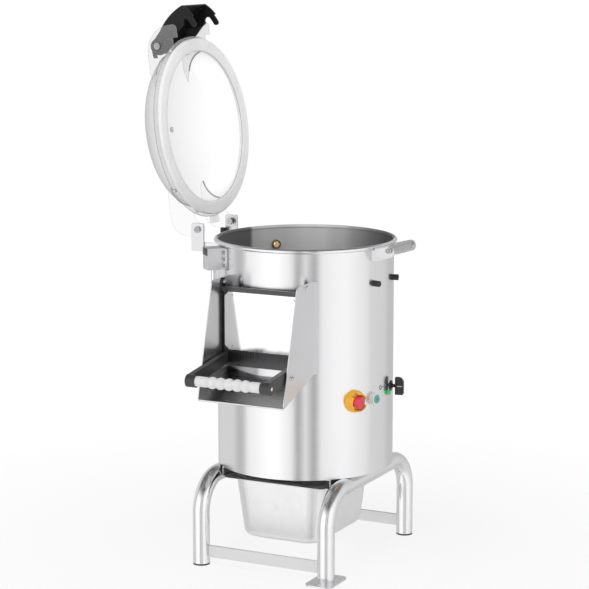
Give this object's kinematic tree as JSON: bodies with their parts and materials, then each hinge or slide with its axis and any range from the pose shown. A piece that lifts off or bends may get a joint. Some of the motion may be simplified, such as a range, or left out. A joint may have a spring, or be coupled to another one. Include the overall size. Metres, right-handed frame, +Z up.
{
  "type": "potato peeler",
  "caption": "Floor-standing drum peeler with clear latched lid, discharge chute with lift-up door, side controls, peel pan and tube stand.",
  "frame": {"origin": "on the floor under the drum's axis, centre of the floor bolt pattern", "axes": "+Z up, front with the chute towards -Y, latch and controls towards +X"},
  "size_m": [0.6352, 0.6738, 1.3066],
  "materials": {
    "drum_steel": "satin",
    "tube_steel": "polished",
    "sheet_steel": "satin",
    "bright_steel": "polished",
    "pale_steel": "matte",
    "pan_steel": "satin",
    "cast": "painted",
    "dark_plastic": "matte",
    "white_plastic": "satin",
    "yellow_plastic": "gloss",
    "red_plastic": "gloss",
    "teal_plastic": "gloss",
    "green_lens": "gloss",
    "clear_plastic": "clear",
    "black_rubber": "matte",
    "seal_rubber": "matte",
    "brass": "satin",
    "abrasive": "rough"
  },
  "bodies": {
    "frame": {"left_leg_hoop": "tube_steel", "right_leg_hoop": "tube_steel", "crossbars": "pale_steel", "leg_end_caps": "dark_plastic", "floor_plates": "sheet_steel", "base_plate": "pale_steel", "base_bolts": "bright_steel", "pan_rails": "pale_steel", "drum_shell": "drum_steel", "chamber_floor": "sheet_steel", "bearing_housing": "cast", "shaft_bearings": "bright_steel", "shaft_seal": "black_rubber", "motor_body": "cast", "motor_hanger": "pale_steel", "drive_belt": "black_rubber", "water_inlet": "brass", "cable_gland": "dark_plastic", "chute_sides": "sheet_steel", "chute_floor": "sheet_steel", "door_collar": "sheet_steel", "door_hinge_screws": "bright_steel", "door_catches": "bright_steel", "hinge_bracket": "sheet_steel", "hinge_plates": "sheet_steel", "hinge_pins": "bright_steel", "switch_housing": "sheet_steel", "switch_conduit": "bright_steel", "latch_bar": "bright_steel", "latch_brackets": "sheet_steel", "rubber_bumpers": "black_rubber", "estop_collar": "yellow_plastic", "start_bezel": "white_plastic", "lamp_lens": "green_lens", "timer_dial": "dark_plastic", "switch_blocks": "dark_plastic"},
    "lid": {"lid_dome": "clear_plastic", "lid_seal": "seal_rubber", "hinge_lugs": "clear_plastic", "latch_lugs": "clear_plastic", "lid_bolts": "bright_steel", "latch_pins": "bright_steel"},
    "lid_handle": {"latch_handle": "dark_plastic"},
    "door": {"door_panel": "sheet_steel", "door_gasket": "black_rubber", "door_face_plate": "pale_steel", "door_face_screws": "bright_steel", "door_arms": "dark_plastic", "door_grip": "white_plastic", "grip_rod": "bright_steel"},
    "stop_stem": {"estop_stem": "dark_plastic"},
    "stop_head": {"estop_head": "red_plastic"},
    "start_button": {"start_cap": "teal_plastic"},
    "timer": {"timer_knob": "dark_plastic"},
    "pan": {"peel_pan": "pan_steel"},
    "disc": {"peeling_disc": "abrasive", "drive_shaft": "bright_steel", "shaft_pulley": "cast"},
    "rotor": {"motor_shaft": "bright_steel", "motor_pulley": "cast"}
  },
  "joints": [
    {"name": "lid_hinge", "type": "hinge", "parent": "frame", "child": "lid", "pos_m": [-0.245, 0, 0.778], "axis": [0, 1, 0], "range_deg": [0, 97.7]},
    {"name": "latch_swing", "type": "hinge", "parent": "lid", "child": "lid_handle", "pos_m": [-0.35291, 0, 1.21044], "axis": [0, -1, 0], "range_deg": [0, 20]},
    {"name": "door_swing", "type": "hinge", "parent": "frame", "child": "door", "pos_m": [0, -0.215, 0.682], "axis": [-1, 0, 0], "range_deg": [0, 60]},
    {"name": "stop_press", "type": "slide", "parent": "frame", "child": "stop_stem", "axis": [-0.8572, 0.515, 0], "range_m": [0, 0.004]},
    {"name": "stop_twist", "type": "hinge", "parent": "stop_stem", "child": "stop_head", "pos_m": [0.18, -0.10816, 0.406], "axis": [-0.8572, 0.515, 0], "range_deg": [0, 40], "stiffness_Nm_per_rad": 0.05},
    {"name": "start_press", "type": "slide", "parent": "frame", "child": "start_button", "axis": [-0.9659, 0.2588, 0], "range_m": [0, 0.003], "stiffness_N_per_m": 600},
    {"name": "timer_turn", "type": "hinge", "parent": "frame", "child": "timer", "pos_m": [0.20614, 0.04007, 0.417], "axis": [0.9816, 0.1908, 0], "range_deg": [-300, 0]},
    {"name": "pan_slide", "type": "slide", "parent": "frame", "child": "pan", "axis": [0, -1, 0], "range_m": [0, 0.25]},
    {"name": "disc_spin", "type": "hinge", "parent": "frame", "child": "disc", "pos_m": [0, 0, 0.4], "axis": [0, 0, 1], "continuous": true},
    {"name": "rotor_spin", "type": "hinge", "parent": "frame", "child": "rotor", "pos_m": [-0.07971, 0.09499, 0.3], "axis": [0, 0, 1], "continuous": true}
  ],
  "couplings": [
    {"joint": "rotor_spin", "follows": "disc_spin", "ratio": 3}
  ]
}
